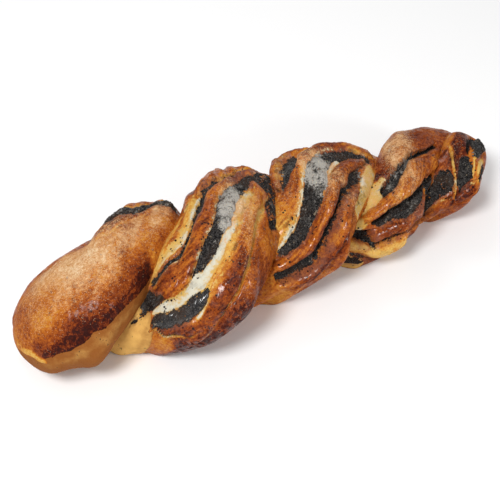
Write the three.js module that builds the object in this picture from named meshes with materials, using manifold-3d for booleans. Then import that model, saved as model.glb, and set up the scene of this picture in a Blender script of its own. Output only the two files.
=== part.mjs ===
// A braided poppy seed loaf, baked as one piece.
//
// Two ropes of filled dough are twisted round each other and laid on a flat tray.
// As they prove and bake they press together, slump a little and settle on a flat sole.
// Units are millimetres. X runs along the loaf, from its broad end to its narrow end,
// Y runs across it, and Z is up from the tray. The origin is at the middle of the
// underside, below the centre of the loaf's bounding box.

import * as THREE from 'three';
import { mergeVertices } from 'three/addons/utils/BufferGeometryUtils.js';
import Module from 'manifold-3d';

const wasm = await Module();
wasm.setup();

// Ends of the two ropes along X, and how long the rounding at each end is.
const broadEnd = -178;
const narrowEnd = 200;
const broadCap = 28;
const narrowCap = 24;

// The sole is the dough that has spread over the tray and filled in between the ropes.
const soleHeight = 12;
const soleRounding = 5;

// How far the underside of the ropes has sunk towards the tray.
const slump = 9;

// Mesh fineness: facets round a rope, rings along it, points round the sole, and steps
// over the sole's edge. Rings sit closer together towards the ends.
const ropeFacets = 34;
const ropeRings = 92;
const ringCrowding = 0.5;
const soleRimPoints = 72;
const soleRoundingSteps = 3;

// Twist stations along the loaf. turn is the angle of rope A about the loaf's axis, in
// degrees from straight up, growing towards +Y; rope B is half a turn on. offset is how
// far a rope's own centre lies from the axis, ropeA and ropeB are the ropes' radii, and
// sideways and axisHeight place the axis. wide and tall are how far the section has
// spread and sunk, and lean swings a section's front towards +X.
const stationColumns = [
  'x', 'turn', 'offset', 'ropeA', 'ropeB', 'sideways', 'axisHeight', 'wide', 'tall', 'lean',
];
const stationRows = [
  [-178, -80, 6, 27, 17, 12, 26, 1.02, 0.84, -0.25],
  [-145, -58, 13, 35, 26, 12, 32, 1.04, 0.84, -0.3],
  [-110, -35, 17, 36, 33, 10, 35, 1.06, 0.86, -0.38],
  [-68, 80, 18, 34, 35, 5, 36, 1.08, 0.88, -0.3],
  [-32, 160, 19, 30, 39, -4, 36, 1.1, 0.84, 0],
  [0, 225, 20, 30, 38, 1, 37, 1.08, 0.83, 0.15],
  [20, 275, 20, 29, 36, 7, 37, 1.08, 0.84, 0.28],
  [55, 360, 18, 33, 31, 5, 35, 1.08, 0.86, 0.22],
  [97, 450, 16, 31, 28, 4, 33, 1.08, 0.84, 0],
  [127, 540, 14, 27, 27, 4, 32, 1.06, 0.84, 0],
  [160, 630, 12, 24, 26, 7, 31, 1.03, 0.84, -0.1],
  [200, 726, 6, 22, 22, 5, 28, 1, 0.84, -0.1],
];
const stations = stationRows.map((row) => (
  Object.fromEntries(stationColumns.map((column, i) => [column, row[i]]))
));

// Places where a rope has swelled, or sunk where the other presses on it. x is along the
// loaf and angle round the rope, in degrees from the side that faces away from the axis;
// reach is how far the place spreads along x, spread how far round the rope, and rise is
// how far it stands out.
const swellingColumns = ['x', 'angle', 'reach', 'spread', 'rise'];
const ropeASwellingRows = [
  [-155, 113, 14, 30, -4],
  [-118, -76, 16, 26, 5],
  [-106, 70, 14, 26, 5],
  [-78, -22, 18, 40, -7.5],
  [-56, -92, 12, 30, 7],
  [-8, 44, 20, 34, -6],
  [14, 120, 14, 18, 5],
  [28, -22, 12, 26, 5],
  [36, 112, 10, 16, 4],
  [48, 93, 12, 22, 5.5],
  [68, 36, 8, 18, -4],
  [136, 40, 10, 26, -5],
  [144, 10, 10, 20, -4],
  [168, -20, 14, 30, 6],
  [190, 20, 10, 50, -10],
  [192, 40, 6, 16, -5],
];
const ropeBSwellingRows = [
  [-106, 100, 16, 34, 8],
  [-66, 110, 10, 24, 5],
  [-52, -44, 14, 32, 6],
  [-40, 96, 15, 34, 8],
  [-34, -68, 10, 24, 4],
  [8, -28, 15, 34, -8],
  [28, -100, 12, 30, 7],
  [36, -116, 8, 16, 4],
  [58, 62, 10, 26, 4],
  [109, -48, 8, 20, 4],
  [144, -20, 24, 54, -5],
];
const rowsToPlaces = (rows) => rows.map((row) => (
  Object.fromEntries(swellingColumns.map((column, i) => [column, row[i]]))
));
const swellings = {
  ropeA: rowsToPlaces(ropeASwellingRows),
  ropeB: rowsToPlaces(ropeBSwellingRows),
};

// Outline of the sole on the tray: its front and back edges at a few places along X.
const soleEdges = [
  { x: -156, front: 4, back: 18 },
  { x: -128, front: -12, back: 26 },
  { x: -77, front: -28, back: 30 },
  { x: -43, front: -30, back: 30 },
  { x: -9, front: -24, back: 30 },
  { x: 20, front: -20, back: 30 },
  { x: 60, front: -20, back: 28 },
  { x: 102, front: -18, back: 25 },
  { x: 140, front: -10, back: 21 },
  { x: 176, front: 0, back: 13 },
];

// The value of one column of the stations at x, on a smooth curve through its values.
function along(name, x) {
  const last = stations.length - 1;
  let i = 0;
  while (i < last - 1 && x > stations[i + 1].x) i += 1;
  const slope = (k) => {
    const before = stations[Math.max(k - 1, 0)];
    const after = stations[Math.min(k + 1, last)];
    return (after[name] - before[name]) / (after.x - before.x);
  };
  const a = stations[i];
  const b = stations[i + 1];
  const span = b.x - a.x;
  const t = THREE.MathUtils.clamp((x - a.x) / span, 0, 1);
  const t2 = t * t;
  const t3 = t2 * t;
  return (2 * t3 - 3 * t2 + 1) * a[name] + (t3 - 2 * t2 + t) * span * slope(i)
    + (3 * t2 - 2 * t3) * b[name] + (t3 - t2) * span * slope(i + 1);
}

// Quarter-round closing of a rope at its ends: 0 at the very end, 1 past the cap.
function endRounding(x) {
  const fromBroad = THREE.MathUtils.clamp((x - broadEnd) / broadCap, 0, 1);
  const fromNarrow = THREE.MathUtils.clamp((narrowEnd - x) / narrowCap, 0, 1);
  return Math.sqrt(1 - (1 - fromBroad) ** 2) * Math.sqrt(1 - (1 - fromNarrow) ** 2);
}

// How far a rope's skin stands out at x and angle because of its swellings.
function swelled(ropeName, x, angle) {
  const degrees = THREE.MathUtils.radToDeg(angle);
  return swellings[ropeName].reduce((total, place) => {
    const turned = THREE.MathUtils.euclideanModulo(degrees - place.angle + 180, 360) - 180;
    const far = ((x - place.x) / place.reach) ** 2 + (turned / place.spread) ** 2;
    return total + place.rise * Math.exp(-far);
  }, 0);
}

// The point on a rope's skin at x along the loaf and angle round the rope, which is
// counted from the side that faces away from the loaf's axis.
function ropePoint(x, angle, ropeName, phase) {
  const turn = THREE.MathUtils.degToRad(along('turn', x)) + phase;
  const radius = (along(ropeName, x) + swelled(ropeName, x, angle)) * endRounding(x);
  const outward = along('offset', x) + radius * Math.cos(angle);
  const sideways = radius * Math.sin(angle);
  const y = along('wide', x) * (outward * Math.sin(turn) + sideways * Math.cos(turn));
  const z = along('tall', x) * (outward * Math.cos(turn) - sideways * Math.sin(turn));
  const below = Math.max(-z / along('axisHeight', x), 0);
  return new THREE.Vector3(
    x - along('lean', x) * y,
    y + along('sideways', x),
    z + along('axisHeight', x) - slump * below ** 2,
  );
}

// A sphere whose poles become the rope's two ends and whose circles become its sections.
function ropeGeometry(ropeName, phase) {
  const geometry = new THREE.SphereGeometry(1, ropeFacets, ropeRings);
  const unit = new THREE.Vector3();
  const places = geometry.getAttribute('position');
  for (let i = 0; i < places.count; i += 1) {
    unit.fromBufferAttribute(places, i);
    const v = Math.acos(THREE.MathUtils.clamp(-unit.y, -1, 1)) / Math.PI;
    const share = v - (ringCrowding * Math.sin(2 * Math.PI * v)) / (2 * Math.PI);
    const x = THREE.MathUtils.lerp(broadEnd, narrowEnd, share);
    const point = ropePoint(x, Math.atan2(unit.z, unit.x), ropeName, phase);
    places.setXYZ(i, point.x, point.y, point.z);
  }
  return geometry;
}

// The sole: a smooth closed outline on the tray, raised, and rounded over at its edge.
function soleGeometry() {
  const front = soleEdges.map((edge) => new THREE.Vector3(edge.x, edge.front, 0));
  const back = soleEdges.map((edge) => new THREE.Vector3(edge.x, edge.back, 0));
  const rim = new THREE.CatmullRomCurve3([...front, ...back.reverse()], true);
  const outline = new THREE.Shape(rim.getPoints(soleRimPoints).slice(0, soleRimPoints));
  return new THREE.ExtrudeGeometry(outline, {
    depth: soleHeight - soleRounding,
    bevelThickness: soleRounding,
    bevelSize: soleRounding,
    bevelOffset: -soleRounding,
    bevelSegments: soleRoundingSteps,
  });
}

// A closed three.js geometry as a solid for joining and cutting.
function solidOf(geometry) {
  const bare = geometry.clone();
  bare.deleteAttribute('normal');
  bare.deleteAttribute('uv');
  const merged = mergeVertices(bare);
  return new wasm.Manifold(new wasm.Mesh({
    numProp: 3,
    vertProperties: new Float32Array(merged.getAttribute('position').array),
    triVerts: new Uint32Array(merged.getIndex().array),
  }));
}

// A solid as a three.js geometry again.
function geometryOf(solid) {
  const mesh = solid.getMesh();
  const geometry = new THREE.BufferGeometry();
  geometry.setAttribute('position', new THREE.BufferAttribute(mesh.vertProperties, 3));
  geometry.setIndex(new THREE.BufferAttribute(mesh.triVerts, 1));
  return geometry;
}

// Everything below the tray's surface, which cuts the underside flat.
function trayGeometry() {
  const size = 2 * (narrowEnd - broadEnd);
  return new THREE.BoxGeometry(size, size, size).translate(0, 0, -size / 2);
}

// The loaf is both ropes and the sole grown into one, with a flat underside.
function loafGeometry() {
  const ropeA = solidOf(ropeGeometry('ropeA', 0));
  const ropeB = solidOf(ropeGeometry('ropeB', Math.PI));
  const joined = ropeA.add(ropeB).add(solidOf(soleGeometry()));
  const geometry = geometryOf(joined.subtract(solidOf(trayGeometry())));
  geometry.computeBoundingBox();
  const centre = geometry.boundingBox.getCenter(new THREE.Vector3());
  geometry.translate(-centre.x, -centre.y, 0);
  geometry.computeVertexNormals();
  return geometry;
}

function bakedCrust() {
  return new THREE.MeshStandardMaterial({ color: 0xb5662c, roughness: 0.45, metalness: 0 });
}

const braidedLoaf = new THREE.Group();
const loaf = new THREE.Mesh(loafGeometry(), bakedCrust());
loaf.name = 'loaf';
braidedLoaf.add(loaf);

export default braidedLoaf;
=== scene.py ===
import math

import bpy
import numpy as np
from mathutils import Matrix, Vector


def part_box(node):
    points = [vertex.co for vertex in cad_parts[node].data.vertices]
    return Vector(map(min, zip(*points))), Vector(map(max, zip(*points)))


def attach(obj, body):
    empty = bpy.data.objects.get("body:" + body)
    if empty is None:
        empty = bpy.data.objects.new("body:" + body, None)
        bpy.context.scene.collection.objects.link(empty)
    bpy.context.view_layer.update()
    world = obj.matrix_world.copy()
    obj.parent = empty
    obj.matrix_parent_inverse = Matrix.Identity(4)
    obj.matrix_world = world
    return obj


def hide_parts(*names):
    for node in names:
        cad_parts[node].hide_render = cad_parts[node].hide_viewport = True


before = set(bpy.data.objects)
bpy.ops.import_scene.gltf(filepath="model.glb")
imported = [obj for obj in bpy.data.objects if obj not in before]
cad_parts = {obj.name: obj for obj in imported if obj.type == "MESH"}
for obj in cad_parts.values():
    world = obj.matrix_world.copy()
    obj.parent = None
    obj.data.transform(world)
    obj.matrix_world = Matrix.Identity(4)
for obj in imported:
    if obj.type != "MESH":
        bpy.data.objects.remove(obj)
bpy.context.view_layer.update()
mm = 0.001

# lengths are in mm; turn is the angle of rope A from straight up, in degrees; wide, tall and
# lean are the spread, sink and slant of a section, as shares
stationColumns = ("x", "turn", "offset", "ropeA", "ropeB", "sideways", "axisHeight", "wide", "tall", "lean")
twistStations = np.array([
    (-178, -80, 6, 27, 17, 12, 26, 1.02, 0.84, -0.25),
    (-145, -58, 13, 35, 26, 12, 32, 1.04, 0.84, -0.30),
    (-110, -35, 17, 36, 33, 10, 35, 1.06, 0.86, -0.38),
    (-68, 80, 18, 34, 35, 5, 36, 1.08, 0.88, -0.30),
    (-32, 160, 19, 30, 39, -4, 36, 1.10, 0.84, 0.00),
    (0, 225, 20, 30, 38, 1, 37, 1.08, 0.83, 0.15),
    (20, 275, 20, 29, 36, 7, 37, 1.08, 0.84, 0.28),
    (55, 360, 18, 33, 31, 5, 35, 1.08, 0.86, 0.22),
    (97, 450, 16, 31, 28, 4, 33, 1.08, 0.84, 0.00),
    (127, 540, 14, 27, 27, 4, 32, 1.06, 0.84, 0.00),
    (160, 630, 12, 24, 26, 7, 31, 1.03, 0.84, -0.10),
    (200, 726, 6, 22, 22, 5, 28, 1.00, 0.84, -0.10),
])
broadEnd, narrowEnd = twistStations[0, 0], twistStations[-1, 0]
twist = {
    "broadCap": 28,        # length of the rounding at each end, mm
    "narrowCap": 24,
    "slump": 9,            # how far the underside sinks to the tray, mm
    "rings": 520,
    "facets": 280,
    "ringCrowding": 0.5,
    "triangles": 190000,   # most that the finished loaf may have
}

# front and back edge of the sole on the tray, mm
sole = {
    "edges": np.array([
        (-156, 4, 18), (-128, -12, 26), (-77, -28, 30), (-43, -30, 30), (-9, -24, 30),
        (20, -20, 30), (60, -20, 28), (102, -18, 25), (140, -10, 21), (176, 0, 13),
    ]),
    "height": 12,
    "columns": 90,
    "rows": 12,
}


def smoothStep(low, high, value):
    t = np.clip((value - low) / (high - low), 0, 1)
    return t * t * (3 - 2 * t)


def mix(a, b, share):
    return a + (b - a) * share


def alongTwist(column, x):
    # smooth curve through one column of the stations
    knots = twistStations[:, 0]
    values = twistStations[:, stationColumns.index(column)]
    inner = (values[2:] - values[:-2]) / (knots[2:] - knots[:-2])
    first = (values[1] - values[0]) / (knots[1] - knots[0])
    last = (values[-1] - values[-2]) / (knots[-1] - knots[-2])
    slope = np.concatenate([[first], inner, [last]])
    i = np.clip(np.searchsorted(knots, x) - 1, 0, len(knots) - 2)
    span = knots[i + 1] - knots[i]
    t = np.clip((x - knots[i]) / span, 0, 1)
    a = (2 * t**3 - 3 * t**2 + 1) * values[i] + (t**3 - 2 * t**2 + t) * span * slope[i]
    b = (3 * t**2 - 2 * t**3) * values[i + 1] + (t**3 - t**2) * span * slope[i + 1]
    return a + b


def ropePoints(x, angle, rope, phase, rise):
    # points on a rope's skin, angle in degrees from the side facing away from the axis
    turn = np.radians(alongTwist("turn", x)) + phase
    swing = np.radians(angle)
    fromBroad = np.clip((x - broadEnd) / twist["broadCap"], 0, 1)
    fromNarrow = np.clip((narrowEnd - x) / twist["narrowCap"], 0, 1)
    cap = np.sqrt(1 - (1 - fromBroad) ** 2) * np.sqrt(1 - (1 - fromNarrow) ** 2)
    radius = (alongTwist(rope, x) + rise) * cap
    outward = alongTwist("offset", x) + radius * np.cos(swing)
    across = radius * np.sin(swing)
    y = alongTwist("wide", x) * (outward * np.sin(turn) + across * np.cos(turn))
    z = alongTwist("tall", x) * (outward * np.cos(turn) - across * np.sin(turn))
    axisHeight = alongTwist("axisHeight", x)
    below = np.maximum(-z / axisHeight, 0)
    return np.stack([
        x - alongTwist("lean", x) * y,
        y + alongTwist("sideways", x),
        z + axisHeight - twist["slump"] * below**2,
    ], axis=-1)


# Bands are laid in order, each over the ones before. level and crown are mm off the rope's
# skin; bake runs from raw yellow at 0 to nearly black at 1; crumb is torn pale dough; soft
# is how many degrees a band's edge takes to fade.
kinds = {
    "rib": {"level": -4.2, "crown": 7.0, "bake": 0.52, "edgeBake": 0.16, "edgeCrumb": 0.5, "gloss": 0.75,
            "specks": 0.7, "streak": 0.6, "soft": 1.6},
    "pale": {"level": -2.8, "crown": 2.2, "bake": 0.05, "crumb": 0.95, "specks": 0.4, "streak": 0.5,
             "soft": 2},
    "filling": {"level": -4.2, "crown": 2.2, "filling": 1, "streak": 0.6, "soft": 3.4},
    "gap": {"level": -8.5, "crown": 0, "filling": 1, "wet": 0.3, "soft": 1.6},
    "tonePatch": {"bake": 0.8, "gloss": 0.8, "soft": 6},
    "bare": {"wash": 0, "gloss": 0, "soft": 1.5},    # no egg wash here
}
strandSlope = 1.9     # degrees that a cut layer climbs round its rope for each mm along it


def band(kind, path, **look):
    # a kind of band along a rope, as (x, lowest angle, highest angle), with what sets it apart
    return {**kinds[kind], **look, "path": path}


ropeABands = [
    # the smooth broad end: its side was left unwashed, and the wash browned darkest just above
    band("tonePatch", bake=0.36, gloss=0.7, soft=12, path=[
        (-100, -60, -10), (-88, -84, -30), (-76, -110, -50), (-66, -126, -76), (-56, -136, -100)]),
    band("tonePatch", bake=0.38, gloss=0.14, soft=20, path=[
        (-190, -60, 175), (-160, -40, 165), (-145, -40, 130), (-130, -40, 120), (-112, -50, 90),
        (-96, -80, 50)]),
    band("tonePatch", bake=0.58, gloss=0.2, soft=14, path=[
        (-164, -20, 20), (-149, -28, 18), (-140, -36, 18), (-127, -38, 20), (-117, -42, 14),
        (-108, -60, -4), (-101, -76, -24), (-94, -98, -42), (-86, -118, -62), (-78, -134, -84)]),
    band("tonePatch", bake=0.92, gloss=0.2, soft=6, path=[
        (-158, -16, 2), (-149, -24, 0), (-140, -34, 2), (-127, -36, 4), (-117, -36, -6), (-108, -54, -24),
        (-101, -72, -44), (-94, -94, -62), (-86, -116, -80), (-78, -132, -98)]),
    band("bare", pale=0.0, path=[
        (-190, -130, -3), (-166, -130, -6), (-154, -130, -10), (-136, -130, -21), (-128, -130, -20),
        (-118, -130, -20), (-109, -132, -37), (-103, -134, -51), (-95, -138, -76), (-88, -142, -98),
        (-81, -150, -115), (-66, -155, -124)]),
    band("bare", pale=0.22, soft=7, path=[
        (-160, -22, -10), (-154, -28, -14), (-136, -42, -25), (-128, -42, -24), (-118, -44, -25),
        (-109, -60, -42), (-103, -74, -56), (-95, -98, -80), (-88, -120, -102)]),
    band("tonePatch", bake=0.66, gloss=0.4, soft=6, path=[(-178, -80, 0), (-172, -70, -8), (-166, -60, -14)]),
    band("pale", level=0.2, crown=1.0, crumb=0.42, streak=0, specks=0, path=[
        (-172, -2, 14), (-166, -2, 12), (-160, -12, -3), (-155, -18, -12)]),
    # cut layers just over its crest, seen edge on
    band("rib", level=-1.6, crown=3.2, bake=0.6, specks=0.8, path=[
        (-116, 66, 90), (-109, 61, 82), (-103, 42, 68), (-97, 25, 50), (-91, 8, 28), (-86, -9, 6),
        (-80, -30, -14), (-73, -52, -38), (-66, -74, -60)]),
    band("filling", level=-0.5, crown=2.2, path=[
        (-120, 104, 107), (-114, 90, 102), (-108, 78, 96), (-104, 64, 86), (-97, 48, 70), (-91, 26, 48),
        (-86, 4, 26), (-80, -16, 6), (-73, -40, -18), (-66, -64, -44), (-59, -88, -68), (-52, -106, -90)]),
    band("rib", level=-1.5, crown=4, path=[
        (-118, 118, 122), (-112, 104, 122), (-106, 92, 118), (-97, 70, 96), (-91, 48, 76), (-86, 26, 56),
        (-80, 6, 36), (-73, -18, 12), (-66, -44, -14), (-59, -68, -40)]),
    # the first cut lobe
    band("tonePatch", bake=0.36, gloss=0.35, soft=8, path=[
        (-30, 10, 130), (-14, -6, 124), (-6, -10, 110), (0, -14, 84), (6, -2, 60), (12, 8, 40)]),
    band("filling", path=[
        (0, 104, 120), (6, 94, 112), (12, 77, 99), (16, 69, 92), (20, 63, 88), (24, 56, 83), (28, 48, 76),
        (32, 40, 69), (39, 23, 59), (46, 8, 46), (52, -6, 33), (59, -18, 18), (65, -30, 4), (72, -43, -17),
        (79, -58, -38), (88, -78, -62), (94, -94, -82), (102, -120, -104)]),
    band("pale", level=-1.5, path=[
        (0, 117, 122), (6, 109, 114), (12, 96, 101), (16, 90, 93.5), (20, 86, 89.5), (24, 81, 84.5),
        (28, 74, 77.5), (32, 67, 70.5), (39, 57, 60.5), (46, 44, 47.5), (52, 32, 35.5)]),
    band("rib", level=-2.4, crown=5.8, bake=0.42, edgeBake=0.1, path=[
        (0, 120, 150), (6, 112, 144), (12, 99, 136), (16, 92, 132), (20, 88, 128), (24, 83, 122),
        (28, 76, 112), (32, 69, 102), (39, 59, 82), (46, 46, 67), (52, 34, 54), (58, 17, 38), (65, 0, 23),
        (72, -18, 8), (78, -34, -10), (85, -55, -32), (92, -76, -54), (100, -100, -80), (108, -124, -100)]),
    band("tonePatch", bake=0.22, gloss=0.5, soft=6, path=[
        (-2, 116, 150), (6, 110, 146), (12, 98, 136), (18, 90, 112)]),
    band("tonePatch", bake=0.6, gloss=0.5, soft=8, path=[
        (22, 96, 128), (32, 78, 104), (42, 58, 80), (52, 38, 56), (62, 8, 36), (74, -28, 4),
        (88, -66, -40)]),
    band("gap", level=-5.5, path=[
        (28, 103, 112), (33, 90, 107), (38, 78, 100), (44, 62, 93), (50, 50, 86), (56, 42, 76),
        (62, 32, 62)]),
    band("rib", level=0, crown=5.5, bake=0.58, soft=4, path=[
        (22, 114, 120), (28, 112, 132), (33, 106, 134), (40, 98, 124), (47, 90, 114), (54, 82, 104),
        (60, 66, 92), (66, 44, 74), (72, 20, 44)]),
    band("gap", level=-6.5, path=[
        (-8, 90, 108), (1, 69, 90), (7, 52, 74), (15, 29, 53), (20, 24, 43), (26, 18, 33), (32, 10, 19),
        (41, -8, 0), (50, -34, -25), (56, -47, -37), (61, -61, -49), (68, -76, -61), (77, -93, -72),
        (86, -104, -85)]),
    band("pale", level=-1.5, crumb=0.8, path=[
        (52, -14, -6), (56, -20, -11), (60, -26, -17), (66, -38, -28), (72, -49, -39)]),
    band("rib", bake=0.5, edgeBake=0.6, edgeCrumb=0, path=[
        (-8, 106, 122), (1, 88, 107), (7, 72, 91), (13, 55, 74), (20, 41, 62), (26, 31, 51), (33, 16, 35),
        (41, -2, 18), (46, -15, 6), (51, -27, -4), (56, -38, -16), (64, -56, -31), (76, -72, -53),
        (86, -90, -74), (97, -106, -98)]),
    band("tonePatch", bake=0.74, gloss=0.7, soft=3, path=[
        (1, 88, 95), (7, 72, 79), (13, 55, 62), (20, 41, 48), (26, 31, 37), (33, 16, 22), (41, -2, 4),
        (48, -20, -14)]),
    band("rib", level=-4.2, crown=8.6, bake=0.43, edgeBake=0.58, edgeCrumb=0, path=[
        (-8, 78, 91), (1, 50, 70), (8, 30, 53), (15, 7, 31), (20, 4, 26), (24, 1, 23), (29, -5, 16),
        (34, -15, 8), (44, -39, -15), (54, -61, -42), (62, -74, -61), (72, -91, -80)]),
    band("tonePatch", bake=0.66, gloss=0.5, soft=6, path=[
        (2, 36, 62), (8, 26, 50), (13, 12, 36), (20, 0, 20), (28, -12, 6), (38, -30, -16)]),
    band("pale", level=-1, crown=2, crumb=0.72, bake=0.16, specks=0.8, path=[
        (56, -92, -66), (62, -98, -76), (66, -110, -86), (76, -120, -96), (86, -126, -98),
        (100, -134, -112)]),
    # the narrow end
    band("rib", bake=0.5, edgeBake=0.3, path=[
        (128, 78, 102), (139, 56, 84), (148, 28, 58), (156, 4, 30), (165, -16, 14), (173, -40, -10),
        (182, -64, -34)]),
    band("rib", bake=0.62, edgeBake=0.5, edgeCrumb=0.1, specks=1, level=-1, crown=4, path=[
        (140, 112, 140), (146, 104, 134), (152, 92, 124), (158, 74, 110), (164, 70, 104)]),
    band("filling", filling=0.8, level=-2.4, soft=5, path=[
        (118, 98, 134), (126, 98, 130), (131, 96, 128), (136, 92, 124), (141, 80, 118), (145, 71, 113),
        (149, 63, 105), (153, 55, 92), (157, 50, 78)]),
    band("tonePatch", bake=0.34, gloss=0.5, soft=5, path=[(162, 92, 116), (168, 86, 120), (174, 84, 120)]),
    band("tonePatch", bake=0.8, gloss=0.5, soft=6, path=[
        (148, 40, 60), (157, 12, 38), (163, -4, 22), (169, -14, 10)]),
    band("tonePatch", bake=0.88, gloss=0.4, soft=6, path=[
        (157, 56, 84), (162, 52, 92), (168, 44, 94), (174, 36, 88), (180, 30, 84), (188, 20, 70)]),
    band("filling", level=-1.5, crown=1.5, path=[
        (157, 26, 50), (162, 18, 58), (166, 10, 56), (170, 4, 44), (174, 0, 28)]),
    band("pale", level=-1, crown=3.5, bake=0.2, crumb=0.46, specks=0.8, path=[
        (152, 32, 48), (155, 44, 60), (158, 60, 79), (161, 74, 91), (166, 82, 99)]),
    band("pale", level=-0.5, crown=1.5, crumb=0.5, soft=3, path=[(171, 2, 8), (175, 4, 12), (179, 8, 16)]),
    band("filling", level=2, crown=3.5, path=[
        (178, 8, 30), (183, -10, 32), (188, -22, 34), (196, -40, 24)]),
    band("gap", level=-6, path=[(175, 30, 42), (180, 33, 46), (187, 38, 56), (194, 40, 62)]),
    band("pale", level=0, crown=1.5, crumb=0.7, path=[(175, -10, 0), (181, -22, -10), (188, -46, -30)]),
    band("filling", level=0, path=[(174, -18, -9), (180, -34, -21), (186, -54, -40)]),
]

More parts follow.
